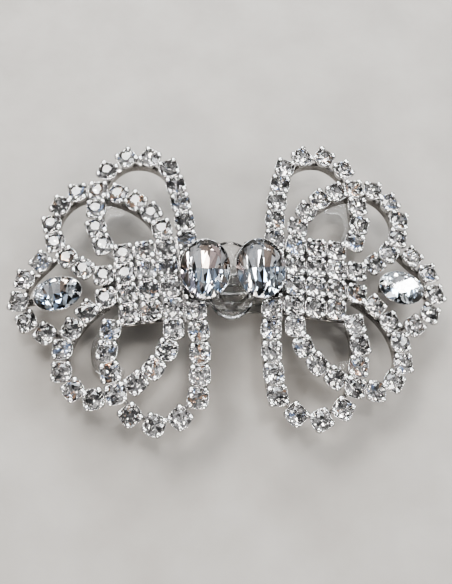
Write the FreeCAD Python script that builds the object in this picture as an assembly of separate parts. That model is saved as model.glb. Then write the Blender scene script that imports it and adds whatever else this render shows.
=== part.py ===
import FreeCAD, Part
import math
import os

# Rhinestone butterfly hair clip, millimetres.
# X runs along the pair of wings, Y from the front (-) to the back (+), Z up.
# The origin is the middle of the flat the closed jaws rest on.
# Each half of the clip is drawn as the right one and mirrored to make the left.

# --- wing dome: the height of the stone girdles above the floor ---
DOME_TOP = 13.3
DOME_RADIUS_X = 182.0
DOME_RADIUS_Y = 417.0
# Each wing is turned a little about Z, so the pair makes a shallow V.
WING_SPLAY_DEG = 5.5

# --- round stones and their four-prong cups ---
STONE_RADIUS = 2.0
STONE_TABLE_RADIUS = 1.1
STONE_CROWN = 0.75
STONE_GIRDLE = 0.12
STONE_PAVILION = 1.6
CUP_TOP_RADIUS = 2.1
CUP_BASE_RADIUS = 1.5
CUP_DEPTH = 1.95
CUP_RIM_DROP = 0.15
PRONG_WIDTH = 0.74
PRONG_REACH = 2.36
PRONG_INNER = 1.7
PRONG_RISE = 0.42
PRONG_FOOT = 1.1

# --- oval stones: (half length across the wing, half length along Y) ---
INNER_OVAL = (5.0, 6.4)
INNER_OVAL_AT = (5.6, -0.5, 15.4)
INNER_OVAL_CROWN = 1.9
OUTER_OVAL = (5.0, 3.5)
OUTER_OVAL_AT = (35.6, -0.4, 11.3)
OUTER_OVAL_CROWN = 1.5
OVAL_PAVILION = 1.0
OVAL_GIRDLE = 0.25
OVAL_TABLE_SHARE = 0.58
OVAL_CULET_SHARE = 0.12
SEAT_RIM = 0.12
SEAT_BASE_SHARE = 0.55
SEAT_FLOOR = 0.2
SEAT_DROP = 0.1

# --- rails: flat strip standing on edge under each row of cups ---
RAIL_HEIGHT = 2.0
RAIL_NEAR = 0.85
RAIL_FAR = 1.55
RAIL_SAMPLES = 17

# --- band: the block of stones in the middle of each wing ---
STONE_PITCH = 4.4
BAND_FIRST_X = 12.9
BAND_COLUMNS = 3
BAND_ROWS = 4
BAND_PLATE = 0.6
BAND_PLATE_NECK = 6.7
BAND_PLATE_NECK_HALF = 9.4
BAND_PLATE_HALF = 8.5
BAND_PLATE_SHOULDER = 10.8
BAND_PLATE_END = 23.8
TONGUE_END = 26.6
TONGUE_ROOT_HALF = 4.0
TONGUE_TIP_HALF = 2.6

# --- clear jaws ---
JAW_THICKNESS = 1.5
JAW_HALF_WIDTH = 6.2
JAW_UNDER_DOME = 4.0
JAW_START_X = 4.9
JAW_BEND_X = 17.3
JAW_END_X = 14.5
FINGER_WIDTH = 1.7
FINGER_PITCH = 4.4
FINGER_TIP_X = -3.0
FINGER_ROOT_X = 15.5
SIDE_ARM_RADIUS = 1.25
SIDE_ARM_Z = 3.0
SIDE_ARM_PATH = ((19.6, 5.0), (25.4, 8.6), (28.0, 13.2), (27.3, 17.2), (23.6, 18.4))

# --- pivots: each has an eye, a coil and a lug in a row, counted from the middle ---
PIVOT_X = 3.4
PIVOT_Z = 13.7
PIVOT_MIDDLE_Y = -0.45
PIN_RADIUS = 0.4
PIN_CLEARANCE = 0.05
EYE_RADIUS = 0.72
EYE_FROM = 3.85
EYE_TO = 4.5
EYE_ARM_X = (4.9, 6.0)
EYE_ARM_Z = (8.0, 9.2)
LUG_FROM = 5.3
LUG_TO = 6.05
LUG_RADIUS = 0.85
LUG_FOOT_X = (0.9, 3.0)

# --- clear cradle between the halves ---
CRADLE_HALF_WIDTH = 4.6
CRADLE_HALF_LENGTH = 8.6
CRADLE_BOTTOM = 5.8
CRADLE_TOP = 7.6
CRADLE_KEEL_ROUND = 1.2
CRADLE_WALL = 0.55
CRADLE_FLOOR = 0.7
CRADLE_STEP = 1.3
CRADLE_STEP_HEIGHT = 0.5
CRADLE_SLOT_WIDTH = 1.2
CRADLE_SLOT_LENGTH = 7.0

# --- torsion springs ---
WIRE_RADIUS = 0.13
COIL_RADIUS = 0.62
COIL_TURNS = 1.5
COIL_FROM = 4.55
COIL_PITCH = 0.28
COIL_STEPS = 12
SPRING_LEG = 2.6

# --- small parts ---
GLUE_RADIUS = 1.6
GLUE_SPOTS = ((11.0, -4.6), (11.0, 4.6), (16.6, -4.6), (16.6, 4.6))
POST_SIZE = (2.6, 1.8)
POST_AT = (7.4, -0.8)
POST_PROBE = 0.3
BAR_WIDTH = 1.4
BAR_X = (31.4, 43.0)
BAR_THICKNESS = 0.6
BAR_PAD_LENGTH = 4.0
BAR_PAD_HEIGHT = 2.6

VECTOR = FreeCAD.Vector
ORIGIN = VECTOR(0, 0, 0)
UP = VECTOR(0, 0, 1)
X_AXIS = VECTOR(1, 0, 0)
Y_AXIS = VECTOR(0, 1, 0)
# Cutters and columns are made this much longer than what they cut.
OVERCUT = 0.5
ABOVE_ALL = VECTOR(0, 0, DOME_TOP + 5.0)

# Centre lines of the strands of one wing, its upper half, and the number of
# stones spaced evenly on each; end stones shared with a neighbour are skipped.
JOINT = (25.8, 22.1)
SHOULDER = (10.2, 25.1)
HIP = (35.4, 11.2)
STRANDS = {
    "inner": ([(8.4, 3.2), (8.4, 7.6), (8.4, 12.0), (8.8, 17.6), SHOULDER], 6, 0, 0, 1),
    "top": ([SHOULDER, (14.2, 28.5), (19.0, 29.1), (23.8, 26.1), JOINT], 5, 1, 1, -1),
    "diagonal": ([(12.9, 6.6), (13.3, 11.0), (15.2, 15.1), (18.3, 18.4), JOINT], 6, 1, 0, -1),
    "outer": ([JOINT, (26.5, 17.6), (26.8, 13.5), (25.7, 9.2)], 4, 1, 0, -1),
    "side": ([JOINT, (30.3, 22.4), (34.2, 19.8), (36.2, 15.4), HIP,
              (30.3, 4.8), (26.1, 2.45)], 8, 1, 0, -1),
}
TAIL = ([HIP, (38.7, 7.9), (42.3, 4.8), (44.0, 0.0), (42.3, -4.8), (38.7, -7.9),
         (HIP[0], -HIP[1])], 7, 1, 1, -1)


def dome_height(x, y):
    """Height of the girdle surface above a point of the wing."""
    sweep = DOME_RADIUS_Y - DOME_RADIUS_X + math.sqrt(DOME_RADIUS_X ** 2 - x ** 2)
    return DOME_TOP - DOME_RADIUS_Y + math.sqrt(sweep ** 2 - y ** 2)


def dome_normal(x, y):
    step = 0.01
    slope_x = (dome_height(x + step, y) - dome_height(x - step, y)) / (2 * step)
    slope_y = (dome_height(x, y + step) - dome_height(x, y - step)) / (2 * step)
    return VECTOR(-slope_x, -slope_y, 1).normalize()


def dome_layer(top, bottom):
    """Solid layer following the dome, between two depths under the girdles."""
    centre = DOME_TOP - DOME_RADIUS_X
    x_from, x_to = 1.0, 50.0

    def arc(depth):
        radius = DOME_RADIUS_X - depth

        def point(x):
            return VECTOR(x, 0, centre + math.sqrt(radius ** 2 - x ** 2))

        middle = (x_from + x_to) / 2
        return Part.Arc(point(x_from), point(middle), point(x_to)).toShape()

    upper, lower = arc(top), arc(bottom)
    start = Part.makeLine(upper.Vertexes[0].Point, lower.Vertexes[0].Point)
    end = Part.makeLine(upper.Vertexes[-1].Point, lower.Vertexes[-1].Point)
    face = Part.Face(Part.Wire(Part.__sortEdges__([upper, end, lower, start])))
    axis = VECTOR(0, 0, DOME_TOP - DOME_RADIUS_Y)
    half_angle = 5.5
    face.rotate(axis, X_AXIS, -half_angle)
    return face.revolve(axis, X_AXIS, 2 * half_angle)


def smooth(points):
    curve = Part.BSplineCurve()
    curve.interpolate([VECTOR(*point) for point in points])
    return curve


def offset_points(curve, distance, samples):
    """Points at a signed distance to the left of a flat curve."""
    result = []
    for index in range(samples):
        share = index / (samples - 1)
        at = curve.FirstParameter + share * (curve.LastParameter - curve.FirstParameter)
        tangent = VECTOR(curve.tangent(at)[0])
        side = UP.cross(tangent).normalize()
        result.append(curve.value(at) + side * distance)
    return result


def ribbon_face(curve, near, far, samples=RAIL_SAMPLES):
    """Flat strip between two offsets of a flat curve."""
    one = smooth(offset_points(curve, near, samples)).toShape()
    two = smooth(offset_points(curve, far, samples)).toShape()
    start = Part.makeLine(one.Vertexes[0].Point, two.Vertexes[0].Point)
    end = Part.makeLine(one.Vertexes[-1].Point, two.Vertexes[-1].Point)
    return Part.Face(Part.Wire(Part.__sortEdges__([one, end, two, start])))


def strand_curve(points):
    return smooth([(x, y, 0) for x, y in points])


def strand_seats(points, count, skip_first, skip_last):
    """Evenly spaced (x, y, heading) of the stones on one strand."""
    curve = strand_curve(points)
    spaced = curve.toShape().discretize(Number=count)
    seats = []
    for point in spaced[skip_first:count - skip_last]:
        tangent = VECTOR(curve.tangent(curve.parameter(point))[0])
        seats.append((point.x, point.y, math.atan2(tangent.y, tangent.x)))
    return seats


def wing_seats():
    """Every round stone of one wing as (x, y, heading)."""
    seats = []
    for points, count, skip_first, skip_last, _ in STRANDS.values():
        for x, y, heading in strand_seats(points, count, skip_first, skip_last):
            seats.append((x, y, heading))
            seats.append((x, -y, -heading))
    seats += strand_seats(*TAIL[:4])
    for column in range(BAND_COLUMNS):
        for row in range(BAND_ROWS):
            x = BAND_FIRST_X + column * STONE_PITCH
            y = (row - (BAND_ROWS - 1) / 2) * STONE_PITCH
            seats.append((x, y, 0.0))
    return seats


def on_dome(shape, x, y, heading):
    """Copy of a part drawn at the origin, stood on the dome at (x, y)."""
    normal = dome_normal(x, y)
    along = VECTOR(math.cos(heading), math.sin(heading), 0)
    along = (along - normal * along.dot(normal)).normalize()
    turn = FreeCAD.Rotation(along, normal.cross(along), normal, "ZXY")
    placed = shape.copy()
    placed.Placement = FreeCAD.Placement(VECTOR(x, y, dome_height(x, y)), turn)
    return placed


def revolved(profile):
    """Solid of revolution about Z from (radius, height) points."""
    points = [VECTOR(radius, 0, height) for radius, height in profile]
    face = Part.Face(Part.makePolygon(points + points[:1]))
    return face.revolve(ORIGIN, UP, 360)


def round_stone():
    return revolved([
        (0, -STONE_PAVILION), (STONE_RADIUS, -STONE_GIRDLE), (STONE_RADIUS, 0),
        (STONE_TABLE_RADIUS, STONE_CROWN), (0, STONE_CROWN),
    ])


def round_cup(stone):
    body = Part.makeCone(CUP_BASE_RADIUS, CUP_TOP_RADIUS, CUP_DEPTH - CUP_RIM_DROP,
                         VECTOR(0, 0, -CUP_DEPTH))
    height = PRONG_RISE + PRONG_FOOT
    for quarter in range(4):
        prong = Part.makeBox(PRONG_REACH - PRONG_INNER, PRONG_WIDTH, height,
                             VECTOR(PRONG_INNER, -PRONG_WIDTH / 2, -PRONG_FOOT))
        prong.rotate(ORIGIN, UP, 45 + 90 * quarter)
        body = body.fuse(prong)
    return body.cut(stone).removeSplitter()


def ellipse_wire(half_x, half_y, z):
    centre = VECTOR(0, 0, z)
    if half_x >= half_y:
        curve = Part.Ellipse(centre, half_x, half_y)
    else:
        curve = Part.Ellipse(VECTOR(0, half_y, z), VECTOR(-half_x, 0, z), centre)
    return Part.Wire(curve.toShape())


def oval_layers(half, layers):
    """Ruled solid through ellipses given as (share of the half lengths, height)."""
    wires = [ellipse_wire(half[0] * share, half[1] * share, z) for share, z in layers]
    pieces = [Part.makeLoft([low, high], True, True) for low, high in zip(wires, wires[1:])]
    return pieces[0].multiFuse(pieces[1:]).removeSplitter()


def oval_stone(half, crown):
    return oval_layers(half, [
        (OVAL_CULET_SHARE, -OVAL_GIRDLE - OVAL_PAVILION), (1.0, -OVAL_GIRDLE), (1.0, 0.0),
        (OVAL_TABLE_SHARE, crown),
    ])


def oval_seat(stone, half):
    rim = (half[0] + SEAT_RIM, half[1] + SEAT_RIM)
    body = oval_layers(rim, [
        (SEAT_BASE_SHARE, -OVAL_GIRDLE - OVAL_PAVILION - SEAT_FLOOR), (1.0, -SEAT_DROP),
    ])
    return body.cut(stone).removeSplitter()


def lower_and_upper(shape):
    return [shape, shape.mirror(ORIGIN, Y_AXIS)]


def rail(points, side, blocks, layer):
    """Strip on edge under one strand, stopped where it meets its neighbours."""
    curve = strand_curve(points)
    near, far = sorted((side * RAIL_NEAR, side * RAIL_FAR))
    strip = ribbon_face(curve, near, far).extrude(ABOVE_ALL)
    solid = strip.common(layer)
    for block in blocks:
        solid = solid.cut(block)
    return max(solid.Solids, key=lambda piece: piece.Volume)


def band_plate(layer):
    """Plate under the band, with a neck for the inner strand and an outer tongue."""
    upper = [
        (BAND_PLATE_NECK, BAND_PLATE_NECK_HALF), (BAND_PLATE_SHOULDER, BAND_PLATE_NECK_HALF),
        (BAND_PLATE_SHOULDER, BAND_PLATE_HALF), (BAND_PLATE_END, BAND_PLATE_HALF),
        (BAND_PLATE_END, TONGUE_ROOT_HALF), (TONGUE_END, TONGUE_TIP_HALF),
    ]
    outline = upper + [(x, -y) for x, y in reversed(upper)]
    points = [VECTOR(x, y, 0) for x, y in outline]
    face = Part.Face(Part.makePolygon(points + points[:1]))
    return face.extrude(ABOVE_ALL).common(layer)


def turned(shape):
    """Turn a piece drawn square to the wing into its place on the right half."""
    placed = shape.copy()
    placed.rotate(ORIGIN, UP, -WING_SPLAY_DEG)
    return placed


def jaw_plate():
    """Bent clear plate: under the band, down the outside and back underneath."""
    top_end = dome_height(JAW_BEND_X, 0) - JAW_UNDER_DOME
    radius = top_end / 2

    def under_dome(x, depth):
        return VECTOR(x, -JAW_HALF_WIDTH, dome_height(x, 0) - JAW_UNDER_DOME - depth)

    def top_arc(depth):
        middle = (JAW_START_X + JAW_BEND_X) / 2
        return Part.Arc(under_dome(JAW_START_X, depth), under_dome(middle, depth),
                        under_dome(JAW_BEND_X, depth)).toShape()

    def bend(depth):
        low = VECTOR(JAW_BEND_X, -JAW_HALF_WIDTH, depth)
        far = VECTOR(JAW_BEND_X + radius - depth, -JAW_HALF_WIDTH, radius)
        return Part.Arc(under_dome(JAW_BEND_X, depth), far, low).toShape()

    def bottom(z):
        return Part.makeLine(VECTOR(JAW_BEND_X, -JAW_HALF_WIDTH, z),
                             VECTOR(JAW_END_X, -JAW_HALF_WIDTH, z))

    thick = JAW_THICKNESS
    edges = [top_arc(0), bend(0), bottom(0), top_arc(thick), bend(thick), bottom(thick)]
    edges.append(Part.makeLine(under_dome(JAW_START_X, 0), under_dome(JAW_START_X, thick)))
    edges.append(Part.makeLine(VECTOR(JAW_END_X, -JAW_HALF_WIDTH, 0),
                               VECTOR(JAW_END_X, -JAW_HALF_WIDTH, thick)))
    face = Part.Face(Part.Wire(Part.__sortEdges__(edges)))
    return face.extrude(VECTOR(0, 2 * JAW_HALF_WIDTH, 0))


def finger(y):
    """Tooth running across the middle under the cradle, with a rounded tip."""
    length = FINGER_ROOT_X - FINGER_TIP_X - FINGER_WIDTH / 2
    bar = Part.makeBox(length, FINGER_WIDTH, JAW_THICKNESS,
                       VECTOR(FINGER_TIP_X + FINGER_WIDTH / 2, y - FINGER_WIDTH / 2, 0))
    tip = Part.makeCylinder(FINGER_WIDTH / 2, JAW_THICKNESS,
                            VECTOR(FINGER_TIP_X + FINGER_WIDTH / 2, y, 0))
    return bar.fuse(tip)


def pivot_spans(start, end):
    """The back and front spans along Y between two distances from the hinge's middle."""
    return [(PIVOT_MIDDLE_Y + start, PIVOT_MIDDLE_Y + end),
            (PIVOT_MIDDLE_Y - end, PIVOT_MIDDLE_Y - start)]


def rod_along_y(x, radius, y_from, y_to):
    """Cylinder on a pivot axis."""
    return Part.makeCylinder(radius, y_to - y_from, VECTOR(x, y_from, PIVOT_Z), Y_AXIS)


def eye(y_from, y_to):
    """Arm rising from the jaw plate to the eye round one pivot pin."""
    near_x, far_x = EYE_ARM_X
    low_z, high_z = EYE_ARM_Z
    arm = [(PIVOT_X - EYE_RADIUS, PIVOT_Z), (near_x, low_z), (far_x, low_z), (far_x, high_z),
           (PIVOT_X + EYE_RADIUS, PIVOT_Z)]
    points = [VECTOR(x, y_from, z) for x, z in arm]
    face = Part.Face(Part.makePolygon(points + points[:1]))
    ring = rod_along_y(PIVOT_X, EYE_RADIUS, y_from, y_to)
    return ring.fuse(face.extrude(VECTOR(0, y_to - y_from, 0)))


def side_arm(sign):
    """Round clear arm from the jaw out to the blunt end tooth."""
    path = smooth([(x, sign * y, SIDE_ARM_Z) for x, y in SIDE_ARM_PATH])
    start = path.value(path.FirstParameter)
    tangent = VECTOR(path.tangent(path.FirstParameter)[0])
    ring = Part.Wire(Part.makeCircle(SIDE_ARM_RADIUS, start, tangent))
    tube = Part.Wire(path.toShape()).makePipeShell([ring], True, True)
    tip = Part.makeSphere(SIDE_ARM_RADIUS, path.value(path.LastParameter))
    return tube.fuse(tip)


def jaw(finger_rows):
    shape = jaw_plate()
    additions = [finger(y) for y in finger_rows]
    additions += [side_arm(1), side_arm(-1)]
    additions += [eye(y_from, y_to) for y_from, y_to in pivot_spans(EYE_FROM, EYE_TO)]
    shape = shape.multiFuse(additions)
    for y_from, y_to in pivot_spans(EYE_FROM - OVERCUT, EYE_TO + OVERCUT):
        shape = shape.cut(rod_along_y(PIVOT_X, PIN_RADIUS + PIN_CLEARANCE, y_from, y_to))
    return shape.removeSplitter()


def stadium(half_width, half_length, z):
    straight = half_length - half_width
    left = Part.makeLine(VECTOR(-half_width, -straight, z), VECTOR(-half_width, straight, z))
    right = Part.makeLine(VECTOR(half_width, -straight, z), VECTOR(half_width, straight, z))
    ends = []
    for sign in (-1, 1):
        ends.append(Part.Arc(VECTOR(-half_width, sign * straight, z),
                             VECTOR(0, sign * half_length, z),
                             VECTOR(half_width, sign * straight, z)).toShape())
    return Part.Face(Part.Wire(Part.__sortEdges__([left, right] + ends)))


def cradle_lug(side, y_from, y_to):
    """Leaning post that carries one end of a pivot pin."""
    floor = CRADLE_BOTTOM + CRADLE_FLOOR
    near_x, far_x = LUG_FOOT_X
    post = [(near_x, floor), (far_x, floor),
            (PIVOT_X + LUG_RADIUS, PIVOT_Z), (PIVOT_X - LUG_RADIUS, PIVOT_Z)]
    points = [VECTOR(side * x, y_from, z) for x, z in post]
    face = Part.Face(Part.makePolygon(points + points[:1]))
    head = rod_along_y(side * PIVOT_X, LUG_RADIUS, y_from, y_to)
    return head.fuse(face.extrude(VECTOR(0, y_to - y_from, 0)))


def cradle():
    """Clear low bowl with a stepped floor and four leaning posts for the pins."""
    bowl = stadium(CRADLE_HALF_WIDTH, CRADLE_HALF_LENGTH, CRADLE_BOTTOM)
    bowl = bowl.extrude(VECTOR(0, 0, CRADLE_TOP - CRADLE_BOTTOM))
    keel = [edge for edge in bowl.Edges if edge.BoundBox.ZMax < CRADLE_BOTTOM + 0.01]
    bowl = bowl.makeFillet(CRADLE_KEEL_ROUND, keel)
    floor = CRADLE_BOTTOM + CRADLE_FLOOR
    steps = [(CRADLE_WALL, floor + CRADLE_STEP_HEIGHT), (CRADLE_STEP, floor)]
    for inset, z in steps:
        pocket = stadium(CRADLE_HALF_WIDTH - inset, CRADLE_HALF_LENGTH - inset, z)
        bowl = bowl.cut(pocket.extrude(VECTOR(0, 0, CRADLE_TOP)))
    slot = Part.makeBox(CRADLE_SLOT_WIDTH, CRADLE_SLOT_LENGTH, CRADLE_TOP,
                        VECTOR(-CRADLE_SLOT_WIDTH / 2, -CRADLE_SLOT_LENGTH / 2, 0))
    bowl = bowl.cut(slot)
    lugs = [cradle_lug(side, y_from, y_to) for side in (-1, 1)
            for y_from, y_to in pivot_spans(LUG_FROM, LUG_TO)]
    body = bowl.multiFuse(lugs)
    for x in (-PIVOT_X, PIVOT_X):
        for y_from, y_to in pivot_spans(LUG_FROM - OVERCUT, LUG_TO + OVERCUT):
            body = body.cut(rod_along_y(x, PIN_RADIUS, y_from, y_to))
    return body.removeSplitter()


def pivot_pins():
    return [rod_along_y(PIVOT_X, PIN_RADIUS, y_from, y_to)
            for y_from, y_to in pivot_spans(EYE_FROM, LUG_TO)]


def torsion_spring():
    """Coil round the back pin with a leg hanging from each end."""
    steps = int(COIL_TURNS * COIL_STEPS)
    height = COIL_TURNS * COIL_PITCH
    y_start = PIVOT_MIDDLE_Y + COIL_FROM + WIRE_RADIUS
    points = [(PIVOT_X + COIL_RADIUS, y_start, PIVOT_Z - drop)
              for drop in (SPRING_LEG, SPRING_LEG / 2, SPRING_LEG / 6)]
    for step in range(steps + 1):
        angle = 2 * math.pi * step / COIL_STEPS
        points.append((PIVOT_X + COIL_RADIUS * math.cos(angle), y_start + height * step / steps,
                       PIVOT_Z + COIL_RADIUS * math.sin(angle)))
    points += [(PIVOT_X - COIL_RADIUS, y_start + height, PIVOT_Z - drop)
               for drop in (SPRING_LEG / 6, SPRING_LEG / 2, SPRING_LEG)]
    path = smooth(points)
    start = path.value(path.FirstParameter)
    ring = Part.Wire(Part.makeCircle(WIRE_RADIUS, start, VECTOR(path.tangent(path.FirstParameter)[0])))
    return Part.Wire(path.toShape()).makePipeShell([ring], True, True)


def save(name, solids):
    shape = solids[0] if len(solids) == 1 else Part.makeCompound(solids)
    shape.exportStep("parts/" + name + ".step")


def mirrored(solids):
    return [solid.mirror(ORIGIN, X_AXIS) for solid in solids]


def oval_bar(seat, blocks):
    """Strip from the band plate to the tail rail with a pad under the outer oval."""
    x_from, x_to = BAR_X
    strip = Part.makeBox(x_to - x_from, BAR_WIDTH, DOME_TOP, VECTOR(x_from, -BAR_WIDTH / 2, 0))
    strip = strip.common(dome_layer(CUP_DEPTH, CUP_DEPTH + BAR_THICKNESS))
    pad = Part.makeBox(BAR_PAD_LENGTH, BAR_WIDTH, DOME_TOP,
                       VECTOR(OUTER_OVAL_AT[0] - BAR_PAD_LENGTH / 2, -BAR_WIDTH / 2, 0))
    pad = pad.common(dome_layer(CUP_DEPTH - BAR_PAD_HEIGHT, CUP_DEPTH))
    bar = strip.fuse(pad).cut(seat)
    for block in blocks:
        bar = bar.cut(block)
    return max(bar.removeSplitter().Solids, key=lambda piece: piece.Volume)


def right_half():
    """Every piece of the right half except its jaw, in place."""
    stone = round_stone()
    cup = round_cup(stone)
    seats = wing_seats()
    rail_layer = dome_layer(CUP_DEPTH, CUP_DEPTH + RAIL_HEIGHT)
    plate = band_plate(dome_layer(CUP_DEPTH, CUP_DEPTH + BAND_PLATE))

    rails = {}
    blocks = [plate]
    for name, (points, _, _, _, side) in STRANDS.items():
        rails[name] = rail(points, side, blocks, rail_layer)
        blocks.append(rails[name])
    lower = [shape.mirror(ORIGIN, Y_AXIS) for shape in blocks[1:]]
    tail_rail = rail(TAIL[0], TAIL[4], blocks + lower, rail_layer)

    inner_stone = oval_stone(INNER_OVAL, INNER_OVAL_CROWN)
    inner_seat = oval_seat(inner_stone, INNER_OVAL)
    for shape in (inner_stone, inner_seat):
        shape.translate(VECTOR(*INNER_OVAL_AT))

    outer_stone = oval_stone(OUTER_OVAL, OUTER_OVAL_CROWN)
    outer_seat = oval_seat(outer_stone, OUTER_OVAL)
    tilt = math.degrees(math.atan2(dome_normal(OUTER_OVAL_AT[0], 0).x, 1))
    for shape in (outer_stone, outer_seat):
        shape.rotate(ORIGIN, Y_AXIS, tilt)
        shape.translate(VECTOR(*OUTER_OVAL_AT))
    bar = oval_bar(outer_seat, [plate, tail_rail])

    wing = {
        "round_stones": [on_dome(stone, *seat) for seat in seats],
        "stone_cups": [on_dome(cup, *seat) for seat in seats],
        "band_plate": [plate],
        "inner_strand_rails": lower_and_upper(rails["inner"]),
        "top_loop_rails": lower_and_upper(rails["top"]),
        "teardrop_inner_rails": lower_and_upper(rails["diagonal"]),
        "teardrop_outer_rails": lower_and_upper(rails["outer"]),
        "side_loop_rails": lower_and_upper(rails["side"]),
        "tail_rail": [tail_rail],
        "outer_oval_stone": [outer_stone],
        "outer_oval_setting": [outer_seat],
        "outer_oval_bar": [bar],
    }
    half = {name: [turned(solid) for solid in solids] for name, solids in wing.items()}
    half["inner_oval_stone"] = [inner_stone]
    half["inner_oval_setting"] = [inner_seat]
    return half


def piece_around(shape, point):
    """The one solid of a cut shape that holds a point."""
    return next(solid for solid in shape.Solids if solid.isInside(point, 0.001, False))


def glue_pads(jaw_shape, plate):
    pads = []
    for x, y in GLUE_SPOTS:
        column = Part.makeCylinder(GLUE_RADIUS, DOME_TOP, VECTOR(x, y, 0))
        column = column.cut(jaw_shape).cut(plate)
        middle = dome_height(x, 0) - (CUP_DEPTH + BAND_PLATE + JAW_UNDER_DOME) / 2
        pads.append(piece_around(column, VECTOR(x, y, middle)))
    return pads


def oval_post(seat, plate):
    """Block that carries the inner oval's setting on the band plate."""
    length, width = POST_SIZE
    x, y = POST_AT
    post = Part.makeBox(length, width, INNER_OVAL_AT[2], VECTOR(x, y - width / 2, 0))
    post = post.cut(seat).cut(plate)
    x += length / 2
    just_above_plate = dome_height(x, 0) - CUP_DEPTH + POST_PROBE
    return piece_around(post, VECTOR(x, y, just_above_plate))


def main():
    os.makedirs("parts", exist_ok=True)
    half = right_half()
    jaws = {"right": jaw((-FINGER_PITCH, 0, FINGER_PITCH)),
            "left": jaw((-FINGER_PITCH / 2, FINGER_PITCH / 2))}

    plate = half["band_plate"][0]
    half["oval_post"] = [oval_post(half["inner_oval_setting"][0], plate)]
    half["pivot_pins"] = pivot_pins()
    back = torsion_spring()
    middle = VECTOR(0, PIVOT_MIDDLE_Y, 0)
    half["torsion_springs"] = [back, back.mirror(middle, Y_AXIS)]

    save("hinge_cradle", [cradle()])
    for name, solids in half.items():
        save("right_" + name, solids)
        save("left_" + name, mirrored(solids))
    save("right_jaw", [jaws["right"]])
    save("left_jaw", mirrored([jaws["left"]]))
    save("right_glue_pads", glue_pads(jaws["right"], plate))
    save("left_glue_pads", mirrored(glue_pads(jaws["left"], plate)))


main()
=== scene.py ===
import math
import random

import bmesh
import bpy
import numpy as np
from mathutils import Euler, Matrix, Vector


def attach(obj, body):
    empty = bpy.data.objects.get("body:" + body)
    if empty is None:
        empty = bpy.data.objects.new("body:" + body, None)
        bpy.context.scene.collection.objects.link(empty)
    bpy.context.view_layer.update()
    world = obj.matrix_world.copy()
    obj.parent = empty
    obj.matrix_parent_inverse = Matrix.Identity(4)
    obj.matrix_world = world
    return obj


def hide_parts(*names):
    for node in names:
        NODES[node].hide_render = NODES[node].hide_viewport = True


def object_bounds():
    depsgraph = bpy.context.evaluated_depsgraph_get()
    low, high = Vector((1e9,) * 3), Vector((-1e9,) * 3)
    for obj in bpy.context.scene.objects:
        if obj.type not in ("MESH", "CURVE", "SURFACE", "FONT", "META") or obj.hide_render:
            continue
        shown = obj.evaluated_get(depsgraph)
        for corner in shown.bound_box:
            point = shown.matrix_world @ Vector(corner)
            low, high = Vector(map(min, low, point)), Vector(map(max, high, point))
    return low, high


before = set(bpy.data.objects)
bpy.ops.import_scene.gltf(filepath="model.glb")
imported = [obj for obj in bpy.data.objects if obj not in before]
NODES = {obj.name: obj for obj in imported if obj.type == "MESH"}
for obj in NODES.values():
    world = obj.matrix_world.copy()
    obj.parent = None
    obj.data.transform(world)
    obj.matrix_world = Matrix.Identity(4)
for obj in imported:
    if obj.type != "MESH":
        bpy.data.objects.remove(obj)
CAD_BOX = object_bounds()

MM = 0.001
SIDES = ("right", "left")

# --- chatons, in millimetres; the table, middle and lower corners are shares of the radius ---
STONE_RADIUS = 1.94
STONE_CROWN = 0.74
STONE_GIRDLE = 0.08
STONE_PAVILION = 1.5
STONE_TABLE = 0.50
STONE_MIDDLE = 0.80
STONE_LOWER = 0.45
STONE_FOLDS = 8
STONE_TILT_DEG = 2.5

# --- cups and prongs, in millimetres from the middle of the girdle: (radius, height) ---
CUP_SEGMENTS = 32
CUP_PROFILE = ((1.40, -1.94), (1.58, -1.88), (1.80, -1.45), (1.99, -0.80), (2.08, -0.18),
               (2.09, -0.04), (2.03, 0.00), (1.97, -0.06), (1.96, -0.30), (1.60, -0.95),
               (0.60, -1.72))
CUP_HEIGHT = 1.95
CUP_SQUARENESS = 1.3
CUP_SCALLOP = 0.22
CUP_SCALLOP_REACH = 0.8
PRONGS = 4
PRONG_SECTION = 8
PRONG_PATH = ((2.00, -1.30), (2.30, -0.70), (2.46, -0.12), (2.45, 0.18), (2.26, 0.42),
              (1.98, 0.50), (1.72, 0.45), (1.56, 0.36))
PRONG_WIDTHS = (0.60, 0.82, 0.98, 1.12, 1.18, 1.10, 0.84, 0.36)
PRONG_THICKNESS = (0.20, 0.30, 0.38, 0.44, 0.48, 0.44, 0.32, 0.12)

# --- oval stones: shares of the half lengths; KEEL_STEP and FAN_DEPTHS of the pavilion's depth ---
OVAL_CROWN_FOLDS = 14
OVAL_TABLE = 0.60
OVAL_MIDDLE = 0.83
OVAL_KEEL = 0.58
OVAL_KEEL_STEP = 0.62
OVAL_PANELS = 7
OVAL_FAN_SHARE = 0.66
OVAL_FAN_DEPTHS = (0.46, 0.27)
# Bowl that holds an oval: (share of the half lengths, extra millimetres, height).
BEZEL_SEGMENTS = 56
BEZEL_PROFILE = ((0.60, 0.00, -1.44), (0.80, 0.10, -0.98), (0.93, 0.12, -0.60), (1.00, 0.12, -0.24),
                 (1.00, 0.12, -0.10), (1.00, 0.03, -0.08), (1.00, 0.02, -0.26), (0.93, 0.02, -0.58),
                 (0.80, 0.00, -0.94), (0.62, 0.00, -1.30))

# --- painted reflections on the chatons' foil facets: dark facets stand in for reflected shade, fire for coloured flashes of light ---
WHITE = (1.0, 1.0, 1.0)
DARK_SHARE = 0.18
DARK_LEVELS = (0.16, 0.45)
DARK_HUE = (1.0, 0.97, 0.95)
FIRE_SHARE = 0.05
WARM_FIRE_SHARE = 0.4
WARM_FIRE = (0.96, 0.72, 0.56)
COOL_FIRE = (0.64, 0.76, 1.0)
BRIGHT_LEVELS = (0.75, 1.0)
BRIGHT_HUE = (1.0, 0.985, 0.97)
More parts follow.
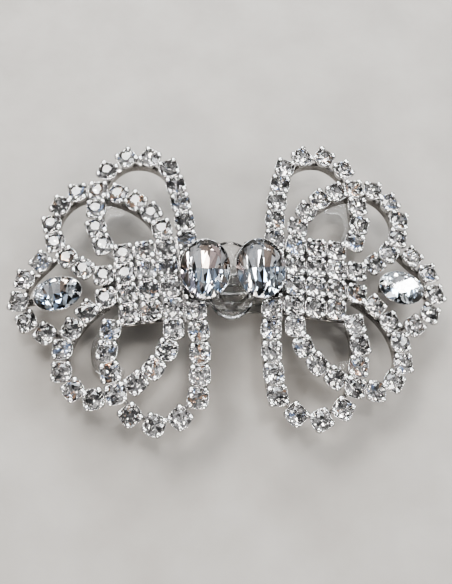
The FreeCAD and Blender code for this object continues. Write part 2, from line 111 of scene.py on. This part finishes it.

# --- painted reflections on the ovals' foil facets: smoky and rosy hues behind the keel stand in for reflected brown surroundings, icy hues in front for reflected window light; each hue has the draw below which it is chosen ---
PANEL_LEVELS = (0.80, 1.0)
SMOKY = (0.56, 0.45, 0.38)
ROSY = (1.0, 0.80, 0.75)
SILVERY = (0.98, 0.97, 0.96)
SLATE = (0.40, 0.44, 0.50)
ICE_BLUE = (0.66, 0.80, 1.0)
ICE_WHITE = (0.90, 0.96, 1.0)
BACK_REFLECTION_HUES = {"inner": ((0.40, SMOKY), (0.60, ROSY), (1.0, SILVERY)),
             "outer": ((0.15, SMOKY), (0.35, ROSY), (1.0, SILVERY))}
FRONT_REFLECTION_HUES = ((0.12, SLATE), (0.50, ICE_BLUE), (1.0, ICE_WHITE))
WALL_TINT = (0.9, 0.92, 0.95)

# --- seats: share of the widest reach beyond which a stone's points lie on its girdle ---
ROUND_RIM = 0.97
OVAL_RIM = 0.99
WELD_DISTANCE = 0.002 * MM

# --- stage, in metres ---
FLOOR_GAP = 0.15 * MM
FLOOR_SPAN = 5.0
FLOOR_STEPS = 24
FLOOR_DARK = (0.30, 0.283, 0.262)
FLOOR_LIGHT = (0.345, 0.328, 0.306)
SKY_LOW = (0.20, 0.195, 0.19)
SKY_HIGH = (0.60, 0.61, 0.63)
SKY_HIGH_AT = 0.9
EXPOSURE = -0.2
# Lamps: name, place, size, power in watts, colour.
LAMP_TARGET = Vector((0, 0, 0.01))
LAMPS = (
    ("key", (-0.25, 0.30, 0.55), (0.30, 0.20), 3.6, (1.0, 0.99, 0.97)),
    ("fill", (0.45, -0.05, 0.35), (0.20, 0.30), 1.9, (0.96, 0.98, 1.0)),
    ("front", (-0.10, -0.50, 0.30), (0.25, 0.12), 1.8, (1.0, 0.95, 0.90)),
    ("top", (0.05, 0.05, 0.70), (0.10, 0.10), 1.4, (1.0, 1.0, 1.0)),
    ("window", (0.02, 0.50, 0.32), (0.44, 0.30), 3.6, (0.90, 0.95, 1.0)),
)
GLINT_DISTANCE = 0.5
GLINT_SIZE = (0.010, 0.026)
GLINT_POWER = 0.06

# --- camera ---
CAMERA_TARGET = Vector((-1.09, -2.55, 8.0)) * MM
CAMERA_DISTANCE = 150.0 * MM
CAMERA_AZIMUTH_DEG = 12.55
CAMERA_ELEVATION_DEG = 70.02
CAMERA_ROLL_DEG = 10.85
CAMERA_LENS = 57.1
CAMERA_SENSOR = 36.0
CAMERA_SHIFT_Y = -0.0044
CAMERA_CLIP_START = 0.005


def shade(level, hue):
    """A hue at a level of brightness."""
    return tuple(level * part for part in hue)


# ---------------------------------------------------------------- materials
class Nodes:
    """A new material with short calls for the nodes it is built from."""

    # Places of the two colour inputs and the colour output of a Mix node.
    MIX_FIRST, MIX_SECOND, MIX_RESULT = 6, 7, 2
    SOCKETS = {"color": "Base Color", "metallic": "Metallic", "roughness": "Roughness",
               "ior": "IOR", "transmission": "Transmission Weight",
               "specular": "Specular IOR Level"}

    def __init__(self, name):
        self.material = bpy.data.materials.new(name)
        self.material.use_nodes = True
        self.tree = self.material.node_tree
        self.shader = self.tree.nodes["Principled BSDF"]
        self.coordinate = self.tree.nodes.new("ShaderNodeTexCoord").outputs["Object"]

    def add(self, kind, **values):
        node = self.tree.nodes.new(kind)
        for key, value in values.items():
            setattr(node, key, value)
        return node

    def link(self, output, target):
        self.tree.links.new(output, target)

    def noise(self, size_mm, detail=3.0, stretch=(1, 1, 1)):
        """Noise with features of about size_mm."""
        mapping = self.add("ShaderNodeMapping")
        mapping.inputs["Scale"].default_value = stretch
        self.link(self.coordinate, mapping.inputs["Vector"])
        noise = self.add("ShaderNodeTexNoise")
        noise.inputs["Scale"].default_value = 1.0 / (size_mm * MM)
        noise.inputs["Detail"].default_value = detail
        self.link(mapping.outputs["Vector"], noise.inputs["Vector"])
        return noise.outputs["Fac"]

    def spread(self, value, low, high, start=0.3, end=0.7):
        """Maps a value from start..end to low..high."""
        node = self.add("ShaderNodeMapRange")
        node.inputs["From Min"].default_value = start
        node.inputs["From Max"].default_value = end
        node.inputs["To Min"].default_value = low
        node.inputs["To Max"].default_value = high
        self.link(value, node.inputs["Value"])
        return node.outputs["Result"]

    def blend(self, factor, first, second):
        """Colour between two others, each a colour or another node's output."""
        node = self.add("ShaderNodeMix", data_type="RGBA")
        self.link(factor, node.inputs["Factor"])
        for place, colour in ((self.MIX_FIRST, first), (self.MIX_SECOND, second)):
            if isinstance(colour, tuple):
                node.inputs[place].default_value = (*colour, 1.0)
            else:
                self.link(colour, node.inputs[place])
        return node.outputs[self.MIX_RESULT]

    def multiply(self, colour, other):
        node = self.add("ShaderNodeMix", data_type="RGBA", blend_type="MULTIPLY")
        node.inputs["Factor"].default_value = 1.0
        self.link(colour, node.inputs[self.MIX_FIRST])
        self.link(other, node.inputs[self.MIX_SECOND])
        return node.outputs[self.MIX_RESULT]

    def bump(self, height, depth_mm):
        node = self.add("ShaderNodeBump")
        node.inputs["Distance"].default_value = depth_mm * MM
        self.link(height, node.inputs["Height"])
        self.link(node.outputs["Normal"], self.shader.inputs["Normal"])

    def set(self, **values):
        """Sets shader inputs to numbers, colours or other nodes' outputs."""
        for key, value in values.items():
            socket = self.shader.inputs[self.SOCKETS[key]]
            if isinstance(value, bpy.types.NodeSocket):
                self.link(value, socket)
            elif isinstance(value, tuple):
                socket.default_value = (*value, 1.0)
            else:
                socket.default_value = value


def silver_material(name, dark, light, rough, dents_mm):
    """Bright plating, a little uneven, with fine polishing marks."""
    m = Nodes(name)
    cloud = m.noise(size_mm=1.6, detail=4)
    marks = m.noise(size_mm=0.16, detail=2, stretch=(1, 6, 1))
    m.set(color=m.blend(m.spread(cloud, 0, 1), dark, light), metallic=1.0,
          roughness=m.spread(marks, *rough))
    m.bump(m.noise(dents_mm), depth_mm=0.02)
    return m.material


def crystal_material():
    """Clear lead glass of the crowns, with faint surface wear."""
    m = Nodes("crystal_glass")
    m.set(color=m.blend(m.noise(size_mm=3.0), (0.985, 0.99, 1.0), WHITE),
          roughness=m.spread(m.noise(size_mm=0.4), low=0.0, high=0.02), ior=1.62, transmission=1.0)
    return m.material


def foil_material(name, grain_mm, darkest):
    """Mirror foil on the pavilion facets; each facet carries its own brightness and tint, which are
    painted reflections.
    """
    m = Nodes(name)
    facet = m.add("ShaderNodeAttribute", attribute_name="facet_tint").outputs["Color"]
    grain = m.spread(m.noise(grain_mm, detail=2), low=0, high=1, start=0.42, end=0.58)
    m.set(color=m.multiply(facet, m.blend(grain, darkest, WHITE)), metallic=1.0,
          roughness=m.spread(m.noise(size_mm=0.3), low=0.0, high=0.03))
    return m.material


def plastic_material(name, ior, tint, rough, flow_mm, depth_mm=0.05):
    """Clear moulded plastic with soft flow marks and handling wear."""
    m = Nodes(name)
    flow = m.noise(flow_mm, detail=2, stretch=(1, 0.4, 1))
    m.set(color=m.blend(m.noise(size_mm=5.0), tint, WHITE), transmission=1.0, ior=ior,
          roughness=m.spread(m.noise(size_mm=0.7, detail=4), *rough))
    m.bump(flow, depth_mm)
    return m.material


def steel_material(name, colour, stretch):
    """Steel with fine lines; stretch sets their direction."""
    m = Nodes(name)
    lines = m.noise(size_mm=0.12, stretch=stretch)
    darker = shade(0.8, colour)
    m.set(color=m.blend(m.spread(lines, 0, 1), darker, colour), metallic=1.0,
          roughness=m.spread(lines, low=0.16, high=0.34))
    m.bump(lines, depth_mm=0.004)
    return m.material


def floor_material():
    """Matt, slightly clouded tabletop."""
    m = Nodes("pale_floor")
    grain = m.noise(size_mm=14.0, detail=5)
    m.set(color=m.blend(m.spread(grain, 0, 1), FLOOR_DARK, FLOOR_LIGHT),
          roughness=m.spread(m.noise(size_mm=2.0), low=0.55, high=0.7), specular=0.3)
    m.bump(m.noise(size_mm=0.9, detail=4), depth_mm=0.02)
    return m.material


# Plating of rails, plates, posts and bezels, darkened and browned as painted shade and a painted
# reflection of a brown tabletop; the cups stay bright.
SHADED_SILVER = silver_material("silver_plate_painted_shade", dark=(0.26, 0.245, 0.235),
                         light=(0.48, 0.465, 0.45), rough=(0.14, 0.30), dents_mm=0.6)
CUP_SILVER = silver_material("silver_plate_cups", dark=(0.55, 0.54, 0.53),
                             light=(0.90, 0.90, 0.90), rough=(0.05, 0.16), dents_mm=0.28)
CRYSTAL = crystal_material()
FOIL = foil_material("crystal_foil", grain_mm=0.55, darkest=(0.66, 0.655, 0.65))
OVAL_FOIL = foil_material("oval_crystal_foil", grain_mm=1.1, darkest=(0.90, 0.92, 0.94))
CLEAR = plastic_material("clear_moulded_plastic", ior=1.49, tint=(0.965, 0.97, 0.97),
                         rough=(0.02, 0.07), flow_mm=2.5)
RIPPLED = plastic_material("clear_rippled_plastic", ior=1.49, tint=(0.93, 0.92, 0.90),
                           rough=(0.01, 0.05), flow_mm=0.55, depth_mm=0.12)
GLUE = plastic_material("clear_glue", ior=1.46, tint=(0.95, 0.94, 0.90), rough=(0.08, 0.2), flow_mm=0.9)
PIN_STEEL = steel_material("polished_pin_steel", colour=(0.72, 0.72, 0.73), stretch=(1, 0.1, 1))
SPRING_STEEL = steel_material("drawn_spring_wire", colour=(0.62, 0.62, 0.64), stretch=(4, 1, 4))

# Materials of the CAD nodes that stay visible; the metal rails, plates and posts are silver, darkened
# with painted shade.
NODE_MATERIALS = {"jaw": CLEAR, "glue_pads": GLUE, "pivot_pins": PIN_STEEL,
                  "torsion_springs": SPRING_STEEL, "hinge_cradle": RIPPLED}
REPLACED = ("round_stones", "stone_cups", "inner_oval_stone", "outer_oval_stone",
            "inner_oval_setting", "outer_oval_setting")


# ---------------------------------------------------------------- meshes
class Builder:
    """Collects points and faces, in millimetres, for one mesh."""

    def __init__(self):
        self.points = []
        self.faces = []
        self.materials = []
        self.tints = []
        self.smooth = []

    def add_points(self, points, place):
        """Adds placed points and returns the number of the first one."""
        first = len(self.points)
        self.points += [place @ Vector(point) for point in points]
        return first

    def add_face(self, first, corners, material=0, tint=WHITE, smooth=False):
        self.faces.append([first + corner for corner in corners])
        self.materials.append(material)
        self.tints.append(tint)
        self.smooth.append(smooth)

    def add_skin(self, points, faces, place):
        """Smooth metal surface."""
        first = self.add_points(points, place)
        for face in faces:
            self.add_face(first, face, smooth=True)

    def add_stone(self, points, crown, pavilion, tints, place):
        """Glass crown facets over tinted foil facets, closed by the girdle points they share."""
        first = self.add_points(points, place)
        for facet in crown:
            self.add_face(first, facet)
        for facet, tint in zip(pavilion, tints):
            self.add_face(first, facet, material=1, tint=tint)

    def build(self, name, materials, body, slot, replaced):
        """Makes the piece, which rides on a body and stands for CAD nodes."""
        mesh = bpy.data.meshes.new(name)
        mesh.from_pydata([point * MM for point in self.points], [], self.faces)
        for polygon, index, smooth in zip(mesh.polygons, self.materials, self.smooth):
            polygon.material_index = index
            polygon.use_smooth = smooth
        tints = mesh.color_attributes.new("facet_tint", "FLOAT_COLOR", "CORNER")
        for polygon, tint in zip(mesh.polygons, self.tints):
            for corner in polygon.loop_indices:
                tints.data[corner].color = (*tint, 1.0)
        shape = bmesh.new()
        shape.from_mesh(mesh)
        bmesh.ops.recalc_face_normals(shape, faces=shape.faces)
        shape.to_mesh(mesh)
        shape.free()
        for material in materials:
            mesh.materials.append(material)
        piece = bpy.data.objects.new(name, mesh)
        bpy.context.scene.collection.objects.link(piece)
        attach(piece, body)
        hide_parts(*replaced)


def ring(half, share, height, count, phase=0.0):
    """Points round an ellipse whose size is a share of the half lengths."""
    points = []
    for index in range(count):
        angle = 2 * math.pi * (index + phase) / count
        points.append((share * half[0] * math.cos(angle), share * half[1] * math.sin(angle), height))
    return points


def crown_rings(half, folds, crown, girdle, table, middle):
    """Corners of a faceted crown and of both edges of its girdle, from the table down."""
    reach = math.cos(math.pi / folds)
    middle_height = crown * (1 - middle * reach) / (1 - table)
    return (ring(half, table, crown, folds) + ring(half, middle, middle_height, folds, 0.5)
            + ring(half, 1.0, 0.0, 2 * folds) + ring(half, 1.0, -girdle, 2 * folds))


def girdle_corners(fold, folds):
    """A fold's three corners on the girdle's upper edge; the lower edge's are 2 * folds later."""
    rim = 2 * folds
    return rim + 2 * fold, rim + 2 * fold + 1, rim + (2 * fold + 2) % rim


def crown_facets(fold, folds):
    """Star, kite and two girdle facets of one fold of a crown."""
    after = (fold + 1) % folds
    here = folds + fold
    before = folds + (fold - 1) % folds
    g0, g1, g2 = girdle_corners(fold, folds)
    return [[fold, here, after], [fold, before, g0, here], [here, g0, g1], [here, g1, g2]]


def girdle_walls(fold, folds):
    """Two walls between the girdle's edges."""
    rim = 2 * folds
    g0, g1, g2 = girdle_corners(fold, folds)
    return [[g0, g0 + rim, g1 + rim, g1], [g1, g1 + rim, g2 + rim, g2]]


def brilliant(builder, place, tint):
    """Brilliant-cut chaton."""
    folds = STONE_FOLDS
    rim = 2 * folds
    half = (STONE_RADIUS, STONE_RADIUS)
    points = crown_rings(half, folds, STONE_CROWN, STONE_GIRDLE, STONE_TABLE, STONE_MIDDLE)
    lower = len(points)
    reach = math.cos(math.pi / folds)
    lower_height = -STONE_GIRDLE - STONE_PAVILION * (1 - STONE_LOWER * reach)
    points += ring(half, STONE_LOWER, lower_height, folds, 0.5)
    culet = len(points)
    points.append((0, 0, -STONE_GIRDLE - STONE_PAVILION))
    crown = [list(range(folds))]
    pavilion = []
    for fold in range(folds):
        low = lower + fold
        low_before = lower + (fold - 1) % folds
        h0, h1, h2 = [corner + rim for corner in girdle_corners(fold, folds)]
        crown += crown_facets(fold, folds)
        pavilion += [[culet, low_before, h0, low], [low, h0, h1], [low, h1, h2]]
        pavilion += girdle_walls(fold, folds)
    builder.add_stone(points, crown, pavilion, [tint() for _ in pavilion], place)


def keeled_oval(builder, place, half, crown, pavilion, girdle, tint):
    """Oval cut with a faceted crown, long panels behind its keel and a fan of facets in front."""
    folds = OVAL_CROWN_FOLDS
    rim = 2 * folds
    points = crown_rings(half, folds, crown, girdle, OVAL_TABLE, OVAL_MIDDLE)
    keel = len(points)
    for index in range(OVAL_PANELS + 1):
        angle = math.pi * index / OVAL_PANELS
        depth = pavilion * (1.0 if index % 2 else OVAL_KEEL_STEP)
        points.append((OVAL_KEEL * half[0] * math.cos(angle), 0.0, -girdle - depth))
    fan = len(points)
    for index in range(OVAL_PANELS):
        angle = -math.pi * (index + 0.5) / OVAL_PANELS
        depth = pavilion * OVAL_FAN_DEPTHS[index % 2]
        points.append((OVAL_FAN_SHARE * half[0] * math.cos(angle),
                       OVAL_FAN_SHARE * half[1] * math.sin(angle), -girdle - depth))
    facets = [list(range(folds))]
    walls, panels, fans = [], [], []
    for fold in range(folds):
        facets += crown_facets(fold, folds)
        walls += girdle_walls(fold, folds)
    per_panel = rim // (2 * OVAL_PANELS)
    for index in range(OVAL_PANELS):
        first, second, middle = keel + index, keel + index + 1, fan + index
        steps = range(index * per_panel, (index + 1) * per_panel + 1)
        panels.append([first] + [2 * rim + step for step in steps] + [second])
        loop = [first] + [2 * rim + (rim - step) % rim for step in steps] + [second]
        fans.append([first, second, middle])
        fans += [[middle, here, after] for here, after in zip(loop, loop[1:])]
    # Painted reflections: back panels get smoky and rosy tints, the front fan icy tints.
    tints = [WALL_TINT for _ in walls] + [tint(True) for _ in panels] + [tint(False) for _ in fans]
    builder.add_stone(points, facets, walls + panels + fans, tints, place)


def revolved_faces(rows, count):
    """Faces joining closed rings of count points, row by row, with both ends capped."""
    faces = []
    for row in range(rows - 1):
        for index in range(count):
            after = (index + 1) % count
            faces.append([row * count + index, row * count + after,
                          (row + 1) * count + after, (row + 1) * count + index])
    faces.append(list(range(count)))
    faces.append([(rows - 1) * count + index for index in range(count)])
    return faces


def cup(builder, place):
    """Stamped cup with a scalloped rim and prongs bent over the stone."""
    points = []
    for radius, height in CUP_PROFILE:
        for index in range(CUP_SEGMENTS):
            angle = 2 * math.pi * index / CUP_SEGMENTS
            near_rim = max(0.0, 1 - abs(height) / CUP_SCALLOP_REACH)
            dip = CUP_SCALLOP * near_rim * (0.5 + 0.5 * math.cos(PRONGS * angle))
            # The cup is round at its base and nearly square at the rim.
            power = 2 + CUP_SQUARENESS * max(0.0, 1 + height / CUP_HEIGHT)
            corner = (abs(math.cos(angle)) ** power + abs(math.sin(angle)) ** power) ** (-1 / power)
            reach = radius * corner
            points.append((reach * math.cos(angle), reach * math.sin(angle), height - dip))
    builder.add_skin(points, revolved_faces(len(CUP_PROFILE), CUP_SEGMENTS), place)
    for number in range(PRONGS):
        turn = Matrix.Rotation(math.radians((number + 0.5) * 360 / PRONGS), 4, "Z")
        prong(builder, place @ turn)


def prong(builder, place):
    """Rounded strip swept up the cup wall and over the crown."""
    points = []
    count = len(PRONG_PATH)
    for index, (radius, height) in enumerate(PRONG_PATH):
        before = PRONG_PATH[max(index - 1, 0)]
        after = PRONG_PATH[min(index + 1, count - 1)]
        along = Vector((after[0] - before[0], 0, after[1] - before[1])).normalized()
        out = Vector((along.z, 0, -along.x))
        for step in range(PRONG_SECTION):
            angle = 2 * math.pi * step / PRONG_SECTION
            wide = PRONG_WIDTHS[index] / 2 * math.sin(angle)
            thick = PRONG_THICKNESS[index] / 2 * math.cos(angle)
            points.append(Vector((radius, wide, height)) + out * thick)
    builder.add_skin(points, revolved_faces(count, PRONG_SECTION), place)


def bezel(builder, place, half):
    """Thin metal bowl whose edge just shows round the oval's girdle."""
    points = []
    for share, extra, height in BEZEL_PROFILE:
        size = (share * half[0] + extra, share * half[1] + extra)
        points += ring(size, 1.0, height, BEZEL_SEGMENTS)
    builder.add_skin(points, revolved_faces(len(BEZEL_PROFILE), BEZEL_SEGMENTS), place)


# ---------------------------------------------------------------- facet colours
def chaton_reflection_tints(side):
    """Seeded source of a wing's painted facet reflections: mostly bright, some dark for reflected
    shade, a few with painted fire.
    """
    source = random.Random("chaton " + side)

    def tint():
        draw = source.random()
        if draw < DARK_SHARE:
            return shade(source.uniform(*DARK_LEVELS), DARK_HUE)
        if draw < DARK_SHARE + FIRE_SHARE:
            return WARM_FIRE if source.random() < WARM_FIRE_SHARE else COOL_FIRE
        return shade(source.uniform(*BRIGHT_LEVELS), BRIGHT_HUE)

    return tint


def panel_reflection_tints(name, which):
    """Seeded source of an oval's painted reflections: smoky and rosy behind its keel for reflected
    brown surroundings, icy in front for reflected window light.
    """
    source = random.Random(name)

    def tint(back):
        draw = source.random()
        level = source.uniform(*PANEL_LEVELS)
        hues = BACK_REFLECTION_HUES[which] if back else FRONT_REFLECTION_HUES
        return shade(level, next(hue for limit, hue in hues if draw < limit))

    return tint


# ---------------------------------------------------------------- seats read from the frame
def solids_of(node):
    """Point sets, in millimetres, of the separate solids of a CAD node."""
    shape = bmesh.new()
    shape.from_mesh(NODES[node].data)
    bmesh.ops.remove_doubles(shape, verts=shape.verts, dist=WELD_DISTANCE)
    seen = set()
    groups = []
    for start in shape.verts:
        if start in seen:
            continue
        seen.add(start)
        group, queue = [], [start]
        while queue:
            vertex = queue.pop()
            group.append(vertex.co.copy() / MM)
            for edge in vertex.link_edges:
                other = edge.other_vert(vertex)
                if other not in seen:
                    seen.add(other)
                    queue.append(other)
        groups.append(np.array(group))
    shape.free()
    return groups


def flat_axes(points):
    """Middle of a flat solid, the direction it faces, upwards, and its two directions in plane."""
    middle = points.mean(0)
    _, directions = np.linalg.eigh(np.cov((points - middle).T))
    normal, narrow, wide = directions.T
    if normal[2] < 0:
        normal = -normal
    return middle, normal, (narrow, wide)


def stone_axis(points):
    """Middle of a round stone's girdle and the direction its table faces."""
    middle, normal, _ = flat_axes(points)
    offset = points - middle
    height = offset @ normal
    radial = np.linalg.norm(offset - np.outer(height, normal), axis=1)
    rim = points[radial > ROUND_RIM * radial.max()]
    return Vector(rim.mean(0)), Vector(normal)


def placed(middle, normal, along):
    """Placement at middle with its Z along normal and its X near along."""
    across = normal.cross(along).normalized()
    along = across.cross(normal)
    turn = Matrix((along, across, normal)).transposed().to_4x4()
    return Matrix.Translation(middle) @ turn


def wing_places(side):
    """Placement of every chaton of a wing, headed towards its nearest neighbour."""
    axes = [stone_axis(points) for points in solids_of(side + "_round_stones")]
    axes.sort(key=lambda item: (round(item[0].y, 2), round(item[0].x, 2)))
    places = []
    for middle, normal in axes:
        others = [other for other, _ in axes if other is not middle]
        nearest = min(others, key=lambda other: (other - middle).length)
        places.append(placed(middle, normal, nearest - middle))
    return places


def oval_place(node):
    """Placement, half lengths, crown, pavilion and girdle heights of an oval's CAD solid."""
    points = solids_of(node)[0]
    middle, normal, in_plane = flat_axes(points)
    sideways = max((Vector(axis) for axis in in_plane), key=lambda axis: abs(axis.x))
    if sideways.x < 0:
        sideways = -sideways
    place = placed(Vector(middle), Vector(normal), sideways)
    local = np.array([place.inverted() @ Vector(point) for point in points])
    low, high = local.min(0), local.max(0)
    rim = local[np.abs(local[:, 0]) > OVAL_RIM * max(abs(low[0]), high[0])]
    girdle_top = rim[:, 2].max()
    girdle_low = rim[:, 2].min()
    centre = (low + high) / 2
    place = place @ Matrix.Translation(Vector((centre[0], centre[1], girdle_top)))
    half = ((high[0] - low[0]) / 2, (high[1] - low[1]) / 2)
    return place, half, high[2] - girdle_top, girdle_low - low[2], girdle_top - girdle_low


# ---------------------------------------------------------------- pieces
def chatons_and_cups(side):
    """A wing's chatons, each leaning a little in its cup, and their cups."""
    stones, cups = Builder(), Builder()
    source = random.Random("tilt " + side)
    tint = chaton_reflection_tints(side)
    limit = math.radians(STONE_TILT_DEG)
    for place in wing_places(side):
        lean = Euler((source.uniform(-limit, limit), source.uniform(-limit, limit),
                      source.uniform(0, math.pi)))
        brilliant(stones, place @ lean.to_matrix().to_4x4(), tint)
        cup(cups, place)
    body = side + "_half"
    stones.build(side + "_chatons", [CRYSTAL, FOIL], body, "crystal", [side + "_round_stones"])
    cups.build(side + "_prong_cups", [CUP_SILVER], body, "silver_plate", [side + "_stone_cups"])


def oval(side, which):
    """A wing's inner or outer oval stone and its bezel."""
    name = side + "_" + which + "_oval_"
    place, half, crown, pavilion, girdle = oval_place(name + "stone")
    stone, bowl = Builder(), Builder()
    keeled_oval(stone, place, half, crown, pavilion, girdle, panel_reflection_tints(name, which))
    bezel(bowl, place, half)
    body = side + "_half"
    stone.build(name + "crystal", [CRYSTAL, OVAL_FOIL], body, "crystal", [name + "stone"])
    bowl.build(name + "bezel", [SHADED_SILVER], body, "silver_plate", [name + "setting"])


def paint_nodes():
    """Gives every CAD node that stays visible its material."""
    for name, node in NODES.items():
        kind = name.split("_", 1)[1] if name.startswith(SIDES) else name
        if kind in REPLACED:
            continue
        for slot in node.material_slots:
            slot.material = NODE_MATERIALS.get(kind, SHADED_SILVER)


# ---------------------------------------------------------------- stage, lights, camera
def floor():
    mesh = bpy.data.meshes.new("floor")
    shape = bmesh.new()
    bmesh.ops.create_grid(shape, x_segments=FLOOR_STEPS, y_segments=FLOOR_STEPS, size=FLOOR_SPAN / 2)
    bmesh.ops.translate(shape, verts=shape.verts, vec=(0, 0, CAD_BOX[0][2] - FLOOR_GAP))
    shape.to_mesh(mesh)
    shape.free()
    mesh.materials.append(floor_material())
    piece = bpy.data.objects.new("floor", mesh)
    bpy.context.scene.collection.objects.link(piece)


def softbox(name, place, size, power, colour, target=LAMP_TARGET):
    """Rectangular studio lamp aimed at the object's middle, or at another target."""
    lamp = bpy.data.lights.new(name, "AREA")
    lamp.shape = "RECTANGLE"
    lamp.size, lamp.size_y = size
    lamp.energy = power
    lamp.color = colour
    holder = bpy.data.objects.new(name, lamp)
    holder.location = place
    holder.rotation_euler = (target - Vector(place)).to_track_quat("-Z", "Y").to_euler()
    bpy.context.scene.collection.objects.link(holder)


def glint(node):
    """Small lamp whose reflection the camera sees in the table of an oval stone."""
    place = oval_place(node)[0]
    middle = place.translation * MM
    normal = place.to_3x3() @ Vector((0, 0, 1))
    to_camera = (bpy.context.scene.camera.matrix_world.translation - middle).normalized()
    direction = 2 * normal.dot(to_camera) * normal - to_camera
    lamp_place = middle + direction * GLINT_DISTANCE
    softbox("glint", lamp_place, GLINT_SIZE, GLINT_POWER, WHITE, middle)


def studio():
    """Surroundings that are brighter overhead, and the lamps."""
    world = bpy.data.worlds.new("studio")
    world.use_nodes = True
    tree = world.node_tree
    background = tree.nodes["Background"]
    direction = tree.nodes.new("ShaderNodeTexCoord").outputs["Generated"]
    split = tree.nodes.new("ShaderNodeSeparateXYZ")
    tree.links.new(direction, split.inputs["Vector"])
    ramp = tree.nodes.new("ShaderNodeValToRGB")
    low, high = ramp.color_ramp.elements
    low.color = (*SKY_LOW, 1)
    high.color = (*SKY_HIGH, 1)
    high.position = SKY_HIGH_AT
    tree.links.new(split.outputs["Z"], ramp.inputs["Fac"])
    tree.links.new(ramp.outputs["Color"], background.inputs["Color"])
    bpy.context.scene.world = world
    for lamp in LAMPS:
        softbox(*lamp)
    glint("right_outer_oval_stone")


def colours():
    """Display colours with some contrast and a soft shoulder for the glints."""
    settings = bpy.context.scene.view_settings
    settings.view_transform = "AgX"
    settings.look = "AgX - High Contrast"
    settings.exposure = EXPOSURE


def camera():
    """Camera above the front edge, turned and rolled a little."""
    azimuth = math.radians(CAMERA_AZIMUTH_DEG)
    elevation = math.radians(CAMERA_ELEVATION_DEG)
    roll = math.radians(CAMERA_ROLL_DEG)
    back = Vector((-math.sin(azimuth) * math.cos(elevation),
                   -math.cos(azimuth) * math.cos(elevation), math.sin(elevation)))
    right = (-back).cross(Vector((0, 0, 1))).normalized()
    up = right.cross(-back)
    tilted_right = right * math.cos(roll) + up * math.sin(roll)
    tilted_up = up * math.cos(roll) - right * math.sin(roll)
    lens = bpy.data.cameras.new("camera")
    lens.lens = CAMERA_LENS
    lens.sensor_fit = "HORIZONTAL"
    lens.sensor_width = CAMERA_SENSOR
    lens.shift_y = CAMERA_SHIFT_Y
    lens.clip_start = CAMERA_CLIP_START
    holder = bpy.data.objects.new("camera", lens)
    turn = Matrix((tilted_right, tilted_up, back)).transposed().to_4x4()
    holder.matrix_world = Matrix.Translation(CAMERA_TARGET + back * CAMERA_DISTANCE) @ turn
    bpy.context.scene.collection.objects.link(holder)
    bpy.context.scene.camera = holder


for side in SIDES:
    chatons_and_cups(side)
    oval(side, "inner")
    oval(side, "outer")
paint_nodes()
floor()
camera()
studio()
colours()
